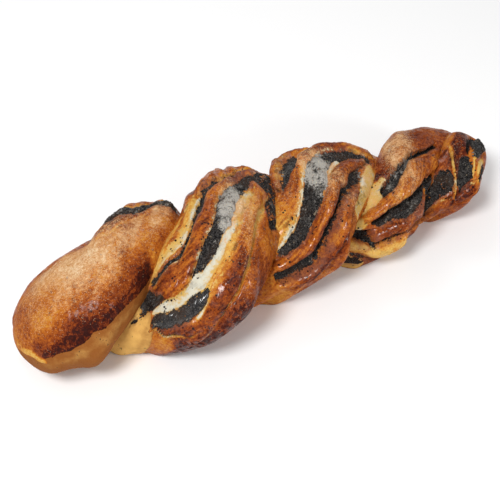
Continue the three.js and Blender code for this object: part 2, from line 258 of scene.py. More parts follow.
ropeBBands = [
    # plain dough under the first crossing, and a small gap in it
    band("bare", pale=0.85, soft=8, path=[
        (-130, 60, 150), (-112, 74, 150), (-102, 74, 150), (-94, 68, 142), (-88, 78, 126), (-84, 88, 120),
        (-80, 98, 114)]),
    band("bare", pale=0.65, soft=9, path=[
        (-110, 40, 72), (-98, 44, 74), (-90, 48, 84), (-84, 56, 92), (-81, 70, 96)]),
    band("gap", level=-1.5, path=[(-95, 116, 119), (-92, 110, 114), (-90, 107, 110)]),
    # the big cut lobe
    band("tonePatch", bake=0.5, gloss=0.9, soft=14, path=[
        (-50, -90, -20), (-36, -100, -34), (-20, -110, -50), (-4, -124, -74), (10, -136, -96)]),
    # the lobe's lower outer side: its own browning, deepened further as painted shade where little light
    # reaches it
    band("tonePatch", bake=0.86, gloss=0.6, soft=12, path=[
        (-86, 0, 66), (-76, -30, 50), (-66, -60, 20), (-58, -76, 0), (-50, -90, -22), (-42, -100, -36),
        (-34, -112, -54), (-20, -126, -86)]),
    band("tonePatch", bake=0.34, gloss=0.4, soft=12, path=[
        (-92, 24, 74), (-84, 20, 70), (-76, 4, 50), (-70, -4, 30)]),
    band("pale", crumb=0.35, level=-1.6, crown=2.6, bake=0.08, specks=0.1, path=[
        (-80, 118, 142), (-72, 112, 138), (-64, 100, 132), (-56, 92, 124), (-49, 86, 116), (-42, 80, 98),
        (-36, 70, 84)]),
    band("rib", crown=4.6, level=-1.4, path=[
        (-58, 122, 144), (-48, 98, 124), (-42, 88, 114), (-35, 77, 104), (-25, 49, 84), (-12, 16, 54),
        (4, -27, 14), (16, -64, -30), (28, -96, -68)]),
    band("tonePatch", bake=0.42, gloss=0.6, soft=2.5, path=[
        (-70, 109, 116), (-62, 103, 111), (-55, 100, 108), (-48, 96, 105)]),
    band("pale", crumb=0.72, path=[
        (-74, 116, 124), (-70, 108, 116), (-64, 96, 105), (-56, 84, 94), (-49, 80, 89), (-42, 73, 83),
        (-36, 64, 75), (-31, 57, 66)]),
    band("gap", level=-4.5, path=[
        (-78, 112, 120), (-72, 104, 109), (-66, 93, 98), (-60, 80, 85), (-53, 77, 82), (-45, 72, 79),
        (-38, 61, 71), (-32, 50, 65), (-26, 42, 58), (-18, 25, 38), (-12, 10, 19), (4, -33, -26),
        (16, -70, -62)]),
    band("filling", level=-1.8, path=[
        (-60, 42, 47), (-54, 35, 52), (-49, 30, 52), (-44, 25, 50), (-37, 14, 40), (-28, -3, 29),
        (-21, -12, 17), (-15, -22, 7), (-8, -36, -10), (-1, -50, -27), (10, -76, -60), (22, -108, -92),
        (34, -132, -110)]),
    band("filling", level=-4.5, filling=0.7, crumb=0.4, path=[
        (-2, -106, -95), (3, -116, -94), (8, -132, -92), (13, -144, -90), (19, -146, -90), (27, -148, -96),
        (36, -150, -104)]),
    band("rib", bake=0.58, edgeBake=0.3, gloss=0.5, specks=0.9, path=[
        (-79, 92, 113), (-74, 79, 108), (-67, 61, 96), (-60, 46, 82), (-53, 49, 78), (-46, 49, 74),
        (-38, 39, 65), (-30, 30, 54), (-25, 23, 44), (-16, 5, 21), (-8, -14, 3), (2, -40, -24),
        (12, -70, -52), (21, -96, -80)]),
    band("tonePatch", bake=0.48, gloss=0.5, soft=6, path=[(-80, 88, 104), (-73, 70, 88), (-66, 52, 76)]),
    band("tonePatch", bake=0.06, gloss=0.3, soft=4, path=[
        (-56, 8, 30), (-44, 2, 30), (-36, -8, 18), (-28, -22, 0), (-22, -30, -8), (-15, -40, -18),
        (-8, -54, -32), (-3, -64, -45)]),
    band("pale", path=[
        (-80, 76, 92), (-76, 68, 86), (-71, 56, 73), (-65, 43, 59), (-60, 33, 48), (-55, 26, 45),
        (-51, 20, 34), (-44, 15, 28), (-36, 7, 18), (-28, -6, 0), (-22, -15, -8), (-15, -25, -18),
        (-8, -39, -33)]),
    band("pale", crumb=0.6, specks=0.8, path=[
        (-26, -12, -4), (-20, -21, -12), (-14, -32, -22), (-8, -42, -33), (-3, -53, -45), (4, -70, -62)]),
    band("rib", level=-1.8, crown=4.4, bake=0.32, edgeBake=0.2, path=[
        (-62, -22, 6), (-57, -24, 11), (-52, -23, 13), (-47, -24, 12), (-40, -28, 5), (-33, -33, -6),
        (-24, -43, -15), (-15, -54, -29), (-4, -70, -53), (6, -92, -72), (14, -110, -88)]),
    band("tonePatch", bake=0.68, gloss=0.9, soft=6, path=[
        (-64, -14, 16), (-58, -18, 12), (-52, -22, 8), (-46, -24, 2), (-38, -30, -8), (-28, -40, -18)]),
    band("gap", level=-2.6, filling=0.1, crumb=0.44, bake=0.15, path=[
        (-44, -29, -25), (-33, -37, -32), (-23, -47, -42), (-14, -59, -51), (-4, -77, -66), (6, -95, -86)]),
    band("pale", level=0, crown=1, path=[(-66, 8, 14), (-62, 8, 13), (-57, 8, 12), (-51, 7, 11)]),
    band("rib", level=-1.5, crown=4, bake=0.7, edgeBake=0.35, edgeCrumb=0.25, path=[
        (-82, 74, 84), (-79, 62, 78), (-75, 40, 60), (-72, 29, 50), (-69, 20, 40), (-65, 6, 28),
        (-61, -4, 19), (-57, -10, 8)]),
    band("pale", level=-1.5, crown=1.5, crumb=0.5, path=[
        (-83, 78, 82), (-79, 64, 68), (-75, 41, 45), (-69, 20, 24), (-65, 6, 10), (-60, -8, -5)]),
    band("gap", level=-3, soft=1.2, path=[
        (-81, 74, 77), (-79, 68, 71), (-75, 45, 48), (-69, 24, 27), (-66, 14, 16)]),
    band("filling", level=-0.4, crown=2.8, wet=1, path=[
        (-82, 78, 86), (-79, 72, 84), (-75, 56, 73), (-70, 41, 58), (-65, 27, 46), (-61, 18, 38),
        (-57, 12, 30), (-53, 9, 22), (-50, 11, 17)]),
    band("gap", level=-4, wet=1, soft=4, path=[
        (-88, 106, 120), (-85, 101, 125), (-82, 97, 124), (-79, 92, 112), (-76, 85, 97), (-73, 79, 87)]),
    # the narrow cut lobe
    band("bare", pale=0.7, path=[
        (44, 40, 120), (53, 30, 106), (60, 20, 96), (68, -6, 76), (76, -30, 50), (84, -60, 22),
        (94, -100, -14), (104, -120, -50)]),
    band("tonePatch", bake=0.62, gloss=0.3, wash=1, soft=6, path=[
        (62, 30, 70), (70, -10, 44), (78, -36, 14), (86, -70, -18)]),
    band("pale", level=-1, crown=2, crumb=0.66, path=[
        (62, 108, 134), (72, 104, 134), (82, 98, 130), (92, 88, 118), (101, 78, 98)]),
    band("filling", level=-2.5, path=[
        (76, 92, 98), (80, 80, 94), (84, 73, 86), (91, 55, 73), (96, 37, 58), (101, 16, 44), (106, -10, 25),
        (113, -40, -4), (122, -76, -40), (130, -112, -72), (138, -142, -98)]),
    band("gap", path=[(56, 104, 124), (62, 90, 116), (67, 78, 104), (72, 68, 92), (76, 64, 78)]),
    band("rib", bake=0.02, edgeBake=0.44, edgeCrumb=0.2, streak=0.3, specks=0.3, path=[
        (52, 100, 122), (58, 86, 110), (62, 74, 98), (67, 57, 80), (74, 32, 62), (82, 8, 50), (88, -8, 33),
        (94, -26, 12), (100, -46, -8)]),
    band("tonePatch", bake=0.8, gloss=0.5, soft=6, path=[
        (92, -44, -14), (98, -62, -20), (104, -80, -34), (112, -100, -56), (122, -130, -86)]),
    band("gap", level=-6, path=[
        (68, 70, 79), (74, 61, 68), (81, 48, 55), (90, 24, 31), (97, 3, 9), (102, -13, -5), (108, -34, -27),
        (116, -62, -55)]),
    band("rib", bake=0.62, crown=6, edgeBake=0.6, edgeCrumb=0, path=[
        (70, 74, 92), (74, 67, 90), (80, 58, 80), (86, 45, 68), (92, 25, 50), (97, 8, 33), (102, -10, 14),
        (108, -30, -10), (116, -56, -36), (124, -84, -66)]),
    band("gap", level=-4, filling=0.6, path=[
        (55, 86, 93), (60, 73, 79), (66, 54, 59), (74, 26, 32), (83, -4, 3), (92, -30, -24)]),
    band("filling", level=-1, path=[(50, 84, 92), (53, 78, 88), (57, 72, 80), (60, 66, 71)]),
    band("gap", path=[
        (76, 94, 100), (84, 78, 88), (91, 64, 75), (96, 48, 60), (101, 32, 46), (106, 12, 28),
        (113, -18, -1), (122, -56, -37), (130, -88, -72), (138, -110, -98)]),
    band("gap", path=[
        (93, 88, 100), (97, 76, 94), (102, 64, 85), (106, 53, 75), (109, 45, 64), (115, 29, 42),
        (121, 7, 17), (129, -24, -15), (136, -54, -45), (145, -84, -77), (156, -108, -100)]),
    band("rib", bake=0.44, level=-3, crown=7.6, edgeBake=0.54, edgeCrumb=0, path=[
        (70, 110, 122), (75, 100, 115), (84, 86, 103), (90, 74, 93), (94, 64, 86), (98, 52, 76),
        (102, 40, 66), (108, 17, 50), (113, -2, 35), (118, -24, 18), (122, -40, 4), (130, -75, -28),
        (137, -95, -64), (142, -110, -80), (150, -124, -102)]),
    band("tonePatch", bake=0.3, gloss=0.4, soft=5, path=[(70, 106, 124), (76, 98, 116), (82, 90, 104)]),
    band("tonePatch", bake=0.86, gloss=0.5, soft=7, path=[
        (95, 92, 130), (99, 84, 122), (103, 74, 110), (108, 56, 76), (114, 34, 46)]),
    band("tonePatch", bake=0.56, gloss=0.6, soft=6, path=[
        (98, 116, 160), (102, 104, 170), (109, 72, 160), (116, 40, 150), (122, 14, 130), (129, -18, 110),
        (139, -56, 80), (150, -90, 60), (161, -114, 30), (176, -130, 10)]),
]

# soft swellings of a rope: (x, angle, reach along x, reach round, mm)
ropeASwells = [
    (-56, -92, 12, 30, 7), (-78, -22, 18, 40, -7.5), (-84, 8, 10, 20, -2.5), (-106, 70, 14, 26, 5),
    (-12, 92, 14, 26, 2), (48, 93, 12, 22, 5.5), (68, 36, 8, 18, -4), (-88, 34, 8, 18, -3),
    (20, -14, 8, 16, -3), (144, 10, 10, 20, -4), (-155, 113, 14, 30, -4), (-172, -15, 8, 25, -3),
    (78, -10, 20, 44, -2.5), (-150, 150, 26, 40, 3), (-118, -76, 16, 26, 5), (-8, 44, 20, 34, -6),
    (12, 4, 10, 22, -4), (28, -22, 12, 26, 5), (136, 40, 10, 26, -5), (168, -20, 14, 30, 6),
    (190, 20, 10, 50, -10), (14, 120, 14, 18, 5), (36, 112, 10, 16, 4), (60, 76, 8, 14, 3),
    (192, 40, 6, 16, -5),
]
ropeBSwells = [
    (-106, 100, 16, 34, 8), (-40, 96, 15, 34, 8), (-66, 110, 10, 24, 5), (-24, 56, 10, 20, 2.5),
    (8, -28, 15, 34, -8), (28, -100, 12, 30, 7), (-84, 30, 10, 26, -3), (-52, -44, 14, 32, 6),
    (-34, -68, 10, 24, 4), (58, 62, 10, 26, 4), (144, -20, 24, 54, -5), (109, -48, 8, 20, 4),
    (36, -116, 8, 16, 4), (-6, 10, 8, 14, -3), (21, -71, 8, 14, -3),
]

# where sugar fell, and a few spots on the ribs that are painted glints: (x, angle, reach along x, reach
# round, amount)
ropeASugarAndGlints = [
    (-152, 104, 15, 28, 0.65), (-132, 80, 16, 28, 0.75), (-117, 56, 14, 24, 0.8), (-105, 26, 12, 22, 0.75),
    (-95, -4, 10, 20, 0.75), (-84, -32, 9, 20, 0.75), (-70, -70, 10, 20, 0.75), (-60, -92, 8, 14, 0.45),
    (-138, 44, 20, 26, 0.35), (-160, 62, 12, 30, 0.3), (56, 2, 11, 22, 1.0), (90, -112, 12, 22, 0.7),
    (46, 36, 10, 18, 1.0), (64, -24, 10, 18, 0.3), (36, 86, 12, 18, 0.3), (165, 70, 16, 26, 0.15),
    (58, -66, 10, 16, 0.4), (24, 112, 12, 20, 0.2), (60, -40, 10, 12, 0.3),
]
ropeBSugarAndGlints = [
    (-12, -18, 8, 16, 1.0), (-22, 2, 8, 14, 0.9), (-31, 18, 8, 14, 0.8), (-8, -44, 10, 14, 0.5),
    (-24, -34, 12, 16, 0.3), (116, 70, 14, 32, 0.75), (134, 4, 20, 34, 0.7), (126, 40, 14, 28, 0.3),
    (88, 108, 10, 12, 0.5), (0, -66, 10, 14, 0.35), (94, 60, 8, 12, 0.2), (112, 10, 10, 12, 0.2),
]

layers = ("height", "filling", "near", "wet", "crumb", "bake", "gloss", "specks", "sugarAndGlints", "wash",
          "pale", "streak", "across", "along")
mmPerDegree = 0.56     # round a rope of usual thickness


uneven = {
    "bend": 0.8,           # degrees that a band's edge wanders, over about so many mm
    "bendReach": 40,
    "fray": 2.0,           # degrees that it is frayed, in patches of mm by degrees
    "frayPatch": (3.5, 6),
    "slide": 0.4,          # mm that it wanders along the rope
    "slideReach": 36,
    "lumps": 0.4,          # mm that the skin rises and falls
    "lumpReach": 30,
    "grooves": 1.1,        # mm between the cut layers, coarse and fine
    "coarsePatch": (20, 5),
    "finePatch": (12, 2.2),
    "waves": 9,
    "cells": 256,
}
plainCrust = {"bake": 0.48, "gloss": 0.6, "wash": 1}


def wander(x, angle, seed, reach):
    # gentle random waves over a rope, seamless round it
    rng = np.random.default_rng(seed)
    total = np.zeros_like(x)
    for _ in range(uneven["waves"]):
        wave = reach * rng.uniform(0.5, 1.6)
        turns = rng.integers(-5, 6)
        total += np.sin(2 * np.pi * (x / wave + turns * angle / 360 + rng.uniform()))
    return total / 3


def layBand(field, look, x, angle):
    path = np.array(sorted(look["path"]), float)
    low = np.interp(x, path[:, 0], path[:, 1])
    high = np.interp(x, path[:, 0], path[:, 2])
    half = (high - low) / 2
    across = (angle - (low + high) / 2) / half
    fade = 2.5     # mm over which a band ends
    ends = smoothStep(path[0, 0] - fade, path[0, 0] + fade, x)
    ends = ends * (1 - smoothStep(path[-1, 0] - fade, path[-1, 0] + fade, x))
    inside = (1 - np.abs(across)) * half
    share = smoothStep(-look["soft"], look["soft"], inside) * ends
    crown = np.sqrt(np.clip(1 - across**2, 0, 1))
    towardsEdge = smoothStep(0.45, 1.0, np.abs(across))
    if "level" in look:
        field["height"] = mix(field["height"], look["level"] + look["crown"] * crown, share)
        for name in ("filling", "wet", "streak"):
            field[name] = mix(field[name], look.get(name, 0), share)
        crumb = mix(look.get("crumb", 0), max(look.get("crumb", 0), look.get("edgeCrumb", 0)), towardsEdge)
        field["crumb"] = mix(field["crumb"], crumb, share)
        field["specks"] = mix(field["specks"], look.get("specks", 0) * (0.5 + 0.5 * towardsEdge), share)
        field["wash"] = mix(field["wash"], look.get("wash", 1), share)
    elif "wash" in look:
        field["wash"] = mix(field["wash"], look["wash"], share)
        field["pale"] = mix(field["pale"], look.get("pale", 0.3), share)
    # towards a band's edges the tone moves to its edge value: the edges' own browning, and where that is
    # darker than the middle, painted shade where the ribs meet the filling
    if "bake" in look:
        bake = mix(look["bake"], look.get("edgeBake", look["bake"]), towardsEdge)
        field["bake"] = mix(field["bake"], bake, share)
    if look.get("filling", 0) > 0.5:
        field["near"] = np.maximum(field["near"], smoothStep(-9, 0, inside) * ends)
    if "filling" not in look:
        field["gloss"] = mix(field["gloss"], look.get("gloss", 0), share)


def swelling(spots, x, angle):
    # several soft round spots added up
    total = np.zeros_like(x)
    for cx, ca, reachX, reachAngle, amount in spots:
        turned = (angle - ca + 180) % 360 - 180
        total += amount * np.exp(-((x - cx) / reachX) ** 2 - (turned / reachAngle) ** 2)
    return total


def patchwork(u, v, seed):
    # smooth random values from 0 to 1 that change over a unit of u and of v
    rng = np.random.default_rng(seed)
    cells = uneven["cells"]
    table = rng.uniform(size=(cells, cells))
    i, j = np.floor(u).astype(int), np.floor(v).astype(int)
    acrossU, acrossV = smoothStep(0, 1, u - i), smoothStep(0, 1, v - j)
    near = mix(table[i % cells, j % cells], table[(i + 1) % cells, j % cells], acrossU)
    far = mix(table[i % cells, (j + 1) % cells], table[(i + 1) % cells, (j + 1) % cells], acrossU)
    return mix(near, far, acrossV)


def layRope(bands, sugarAndGlints, swells, x, angle, seed):
    # every layer's value at every point of a rope
    strand = angle + strandSlope * x
    frayX, frayAngle = uneven["frayPatch"]
    frayed = uneven["fray"] * (patchwork(x / frayX, angle / frayAngle, seed + 5) - 0.5)
    bent = angle + uneven["bend"] * wander(x, angle, seed, uneven["bendReach"]) + frayed
    shifted = x + uneven["slide"] * wander(x, angle, seed + 2, uneven["slideReach"])
    field = {name: np.zeros_like(x) for name in layers}
    for name, value in plainCrust.items():
        field[name] += value
    for look in bands:
        layBand(field, look, shifted, bent)
    field["sugarAndGlints"] = np.clip(swelling(sugarAndGlints, x, angle), 0, 1)
    field["across"] = strand * mmPerDegree
    field["along"] = x
    lumps = uneven["lumps"] * wander(x, angle, seed + 3, uneven["lumpReach"])
    field["height"] += swelling(swells, x, angle) + lumps
    (coarseX, coarseAcross), (fineX, fineAcross) = uneven["coarsePatch"], uneven["finePatch"]
    coarse = patchwork(strand / coarseAcross, x / coarseX, seed + 4)
    fine = patchwork(strand / fineAcross, x / fineX, seed + 6)
    field["height"] += uneven["grooves"] * field["streak"] * (coarse + 0.6 * fine - 0.8)
    return field


def ropeGrid():
    rings = twist["rings"]
    v = (np.arange(rings) + 0.5) / rings
    share = v - twist["ringCrowding"] * np.sin(2 * np.pi * v) / (2 * np.pi)
    x = mix(broadEnd, narrowEnd, share)
    angle = np.linspace(-180, 180, twist["facets"], endpoint=False)
    return np.meshgrid(x, angle, indexing="ij")


def closedMesh(name, points, field):
    # rings of points closed by a point at each end
    rings, facets = points.shape[:2]
    first = points[0].mean(axis=0)
    last = points[-1].mean(axis=0)
    vertices = np.concatenate([points.reshape(-1, 3), [first, last]])
    i = np.arange(rings - 1)[:, None] * facets
    j = np.arange(facets)[None, :]
    k = (j + 1) % facets
    quads = np.stack([i + j, i + facets + j, i + facets + k, i + k], axis=-1).reshape(-1, 4)
    j = np.arange(facets)
    k = (j + 1) % facets
    start = rings * facets
    caps = [np.stack([np.full(facets, start), j, k], axis=1)]
    base = (rings - 1) * facets
    caps.append(np.stack([np.full(facets, start + 1), base + k, base + j], axis=1))
    mesh = bpy.data.meshes.new(name)
    mesh.from_pydata(vertices * mm, [], quads.tolist() + np.concatenate(caps).tolist())
    for layer in layers[1:]:
        values = field[layer].reshape(-1)
        values = np.concatenate([values, [values[:facets].mean(), values[-facets:].mean()]])
        mesh.attributes.new(layer, "FLOAT", "POINT").data.foreach_set("value", values.astype(np.float32))
    mesh.validate()
    return mesh


def placed(name, mesh):
    piece = bpy.data.objects.new(name, mesh)
    bpy.context.scene.collection.objects.link(piece)
    return piece


def ropeObject(name, rope, phase, bands, sugarAndGlints, swells, seed):
    x, angle = ropeGrid()
    field = layRope(bands, sugarAndGlints, swells, x, angle, seed)
    points = ropePoints(x, angle, rope, phase, field["height"])
    return placed(name, closedMesh(name, points, field))


def soleObject():
    # low rounded body between the ropes and the tray
    edges = sole["edges"]
    t = (np.arange(sole["columns"]) + 0.5) / sole["columns"]
    x = mix(edges[0, 0], edges[-1, 0], t)
    pinch = np.sqrt(1 - (2 * t - 1) ** 8)
    front = np.interp(x, edges[:, 0], edges[:, 1])
    back = np.interp(x, edges[:, 0], edges[:, 2])
    centre = (front + back) / 2
    half = (back - front) / 2 * pinch
    swing = np.linspace(0, 2 * np.pi, 4 * sole["rows"], endpoint=False)
    side = np.sign(np.cos(swing)) * np.abs(np.cos(swing)) ** 0.5
    rise = np.sign(np.sin(swing)) * np.abs(np.sin(swing)) ** 0.5
    points = np.stack([
        np.repeat(x[:, None], len(swing), axis=1),
        centre[:, None] + half[:, None] * side[None, :],
        sole["height"] * pinch[:, None] * rise[None, :],
    ], axis=-1)
    field = {name: np.zeros(points.shape[:2]) for name in layers}
    field["bake"] += 0.4
    return placed("sole", closedMesh("sole", points, field))


def settled(piece):
    # the modifiers' result as a plain mesh
    graph = bpy.context.evaluated_depsgraph_get()
    mesh = bpy.data.meshes.new_from_object(
        piece.evaluated_get(graph), preserve_all_data_layers=True, depsgraph=graph)
    piece.modifiers.clear()
    old = piece.data
    piece.data = mesh
    bpy.data.meshes.remove(old)
    return piece


def joinAndCut(piece, others, cutter):
    for operation, tools in (("UNION", others), ("DIFFERENCE", [cutter])):
        for tool in tools:
            step = piece.modifiers.new(operation, "BOOLEAN")
            step.operation = operation
            step.object = tool
            step.solver = "MANIFOLD"
            settled(piece)
            bpy.data.objects.remove(tool)
    return piece


def trayBlock():
    # everything under the tray's surface
    size = 1.0     # metres
    mesh = bpy.data.meshes.new("trayBlock")
    corners = [(x * size, y * size, z) for x in (-1, 1) for y in (-1, 1) for z in (-1, 0)]
    faces = [(0, 1, 3, 2), (4, 6, 7, 5), (0, 4, 5, 1), (2, 3, 7, 6), (0, 2, 6, 4), (1, 5, 7, 3)]
    mesh.from_pydata(corners, [], faces)
    return placed("trayBlock", mesh)


ropeA = ropeObject("baked_loaf", "ropeA", 0, ropeABands, ropeASugarAndGlints, ropeASwells, 11)
ropeB = ropeObject("ropeB", "ropeB", math.pi, ropeBBands, ropeBSugarAndGlints, ropeBSwells, 23)
print("ropes laid:", len(ropeA.data.polygons), len(ropeB.data.polygons))
loaf = joinAndCut(ropeA, [ropeB, soleObject()], trayBlock())
print("joined:", len(loaf.data.polygons), [a.name for a in loaf.data.attributes])


def addNode(tree, kind, settings=None, **inputs):
    # a node with its settings and inputs; an input is a value or another node's output
    made = tree.nodes.new(kind)
    for name, value in (settings or {}).items():
        setattr(made, name, value)
    for name, value in inputs.items():
        key = int(name[1:]) if name[0] == "i" and name[1:].isdigit() else name.replace("_", " ")
        socket = made.inputs[key]
        if isinstance(value, bpy.types.NodeSocket):
            tree.links.new(value, socket)
        else:
            socket.default_value = value
    return made


def maths(tree, operation, a, b=0.0, c=0.0):
    return addNode(tree, "ShaderNodeMath", {"operation": operation}, i0=a, i1=b, i2=c).outputs[0]


def stepBetween(tree, value, low, high):
    made = addNode(tree, "ShaderNodeMapRange", {"interpolation_type": "SMOOTHSTEP"},
                   Value=value, From_Min=low, From_Max=high)
    return made.outputs["Result"]


def mixColour(tree, share, a, b):
    made = addNode(tree, "ShaderNodeMix", {"data_type": "RGBA"}, Factor=share)
    for index, value in ((6, a), (7, b)):
        if isinstance(value, bpy.types.NodeSocket):
            tree.links.new(value, made.inputs[index])
        else:
            made.inputs[index].default_value = (*value, 1)
    return made.outputs[2]


def shortcuts(tree):
    # the commonest nodes of one tree as plain functions
    def times(a, b):
        return maths(tree, "MULTIPLY", a, b)

    def step(value, low, high):
        return stepBetween(tree, value, low, high)

    return times, step


def newTree(name, kind, inputs, outputs):
    tree = bpy.data.node_groups.new(name, kind)
    for inOut, sockets in (("INPUT", inputs), ("OUTPUT", outputs)):
        for label, socketType, value in sockets:
            socket = tree.interface.new_socket(
                name=label, in_out=inOut, socket_type="NodeSocket" + socketType)
            if value is not None:
                socket.default_value = value
    return tree, tree.nodes.new("NodeGroupInput"), tree.nodes.new("NodeGroupOutput")


def setInput(modifier, label, value):
    for item in modifier.node_group.interface.items_tree:
        if item.item_type == "SOCKET" and item.in_out == "INPUT" and item.name == label:
            modifier[item.identifier] = value


relief = {
    "Crust Swell": 0.5 * mm,
    "Crust Wrinkle": 0.35 * mm,
    "Filling Crumble": 1.8 * mm,
    "Tray Margin": 4 * mm,
    "Seed": 3.0,
}
# scale in cycles for each metre, detail, roughness
reliefNoise = {"swell": (90, 2), "wrinkle": (420, 3), "crumble": (330, 4, 0.65)}


def reliefTree(material):
    labels = [(label, "Float", value) for label, value in relief.items()]
    tree, given, result = newTree(
        "doughRelief", "GeometryNodeTree", [("Geometry", "Geometry", None)] + labels,
        [("Geometry", "Geometry", None)])
    times, step = shortcuts(tree)

    def attribute(name):
        return addNode(tree, "GeometryNodeInputNamedAttribute", {"data_type": "FLOAT"}, Name=name).outputs[0]

    def noise(scale, detail, roughness=0.5):
        made = addNode(tree, "ShaderNodeTexNoise", {"noise_dimensions": "4D"}, W=given.outputs["Seed"],
                       Scale=scale, Detail=detail, Roughness=roughness)
        return maths(tree, "SUBTRACT", made.outputs[0], 0.5)

    swell = times(noise(*reliefNoise["swell"]), given.outputs["Crust Swell"])
    wrinkle = times(noise(*reliefNoise["wrinkle"]), given.outputs["Crust Wrinkle"])
    crumble = times(noise(*reliefNoise["crumble"]), given.outputs["Filling Crumble"])
    loose = maths(tree, "MAXIMUM", attribute("filling"), times(attribute("crumb"), 0.6))
    crumble = times(crumble, step(loose, 0.3, 0.8))
    total = times(maths(tree, "ADD", maths(tree, "ADD", swell, wrinkle), crumble), 2)
    place = addNode(tree, "GeometryNodeInputPosition").outputs[0]
    height = addNode(tree, "ShaderNodeSeparateXYZ", None, Vector=place).outputs[2]
    total = times(total, step(height, 0.0, given.outputs["Tray Margin"]))
    normal = addNode(tree, "GeometryNodeInputNormal").outputs[0]
    shift = addNode(tree, "ShaderNodeVectorMath", {"operation": "SCALE"}, Vector=normal, Scale=total)
    moved = addNode(tree, "GeometryNodeSetPosition", None, Geometry=given.outputs["Geometry"],
                    Offset=shift.outputs[0])
    real = addNode(tree, "GeometryNodeRealizeInstances", None, Geometry=moved.outputs[0])
    painted = addNode(tree, "GeometryNodeSetMaterial", None, Geometry=real.outputs[0], Material=material)
    tree.links.new(painted.outputs[0], result.inputs[0])
    return tree


def roughen(piece, material):
    piece.data.materials.clear()
    piece.data.materials.append(material)
    step = piece.modifiers.new("relief", "NODES")
    step.node_group = reliefTree(material)
    for label, value in relief.items():
        setInput(step, label, value)
    settled(piece)


def thin(piece, most):
    triangles = sum(len(face.vertices) - 2 for face in piece.data.polygons)
    if triangles > most:
        step = piece.modifiers.new("thin", "DECIMATE")
        step.ratio = most / triangles
        settled(piece)
    piece.data.shade_smooth()


def intoFrame(piece):
    # the ropes are laid about their own axis; the frame's origin is under their middle
    corners = np.array(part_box("loaf"))
    centre = corners.mean(axis=0)
    shift = Vector((centre[0] - ownMiddle[0], centre[1] - ownMiddle[1], 0))
    piece.data.transform(Matrix.Translation(shift))
    return shift


def smoothMiddle():
    # middle of the ropes' box before they get any layers
    x, angle = ropeGrid()
    both = [ropePoints(x, angle, rope, phase, swelling(swells, x, angle)).reshape(-1, 3)
            for rope, phase, swells in (("ropeA", 0, ropeASwells), ("ropeB", math.pi, ropeBSwells))]
    points = np.concatenate(both) * mm
    return (points.min(axis=0) + points.max(axis=0)) / 2


bakeColours = [
    (0.00, (0.66, 0.40, 0.095)),
    (0.22, (0.54, 0.220, 0.028)),
    (0.42, (0.42, 0.112, 0.011)),
    (0.60, (0.225, 0.042, 0.006)),
    (0.78, (0.082, 0.011, 0.003)),
    (0.96, (0.030, 0.005, 0.003)),
]
finish = {
    "crumbPale": (0.60, 0.57, 0.46),
    "crumbDeep": (0.60, 0.38, 0.105),
    "bareTan": (0.265, 0.087, 0.017),
    "bareYellow": (0.70, 0.40, 0.110),
    "fillingDark": (0.009, 0.008, 0.008),
    "fillingSeed": (0.060, 0.054, 0.050),
    "fillingBrown": (0.045, 0.028, 0.020),
    "fillingFleck": (0.24, 0.19, 0.13),
    "sugarOnFilling": (0.48, 0.45, 0.405),
    "sugarFilmAndGlints": (0.66, 0.34, 0.135),
    "sugarGrain": (0.86, 0.66, 0.42),
    # painted shade: the tone given to the crust next to the filling, in the crevices
    "creviceShade": (0.235, 0.100, 0.068),
    "burntSpeck": (0.014, 0.006, 0.007),
}


patterns = {     # cycles for each metre
    "patches": 48, "mottle": 190, "grain": 640, "dust": 1500, "freckle": 380, "cracks": 150,
    "wrinkles": 420, "char": 110, "clusters": 85, "seeds": 560, "sugarAndGlints": 1900, "packed": 820,
    "flecks": 330, "shine": 260,
}
shell = {"Coat Roughness": 0.12, "Specular IOR Level": 0.09}
pitting = {"Strength": 0.9, "Distance": 0.7 * mm}


def dotGroup():
    # small round dots, one in some of the cells; Amount is the share of cells that have one
    tree, given, result = newTree(
        "dots", "ShaderNodeTree",
        [("Vector", "Vector", None), ("Scale", "Float", 500.0), ("Amount", "Float", 0.5),
         ("Size", "Float", 0.3)],
        [("Mask", "Float", None), ("Shade", "Float", None)])
    times, step = shortcuts(tree)
    cells = addNode(tree, "ShaderNodeTexVoronoi", {"feature": "F1"}, Vector=given.outputs["Vector"],
                    Scale=given.outputs["Scale"])
    parts = addNode(tree, "ShaderNodeSeparateColor", None, Color=cells.outputs["Color"])
    chosen = maths(tree, "LESS_THAN", parts.outputs[0], given.outputs["Amount"])
    size = times(given.outputs["Size"], maths(tree, "ADD", parts.outputs[2], 0.5))
    outside = step(cells.outputs["Distance"], times(size, 0.7), size)
    mask = times(chosen, maths(tree, "SUBTRACT", 1.0, outside))
    tree.links.new(mask, result.inputs["Mask"])
    tree.links.new(parts.outputs[1], result.inputs["Shade"])
    return tree


def newMaterial(name):
    material = bpy.data.materials.new(name)
    material.use_nodes = True
    tree = material.node_tree
    shader = tree.nodes["Principled BSDF"]
    return material, tree, shader


def setSockets(shader, values):
    for label, value in values.items():
        shader.inputs[label].default_value = value


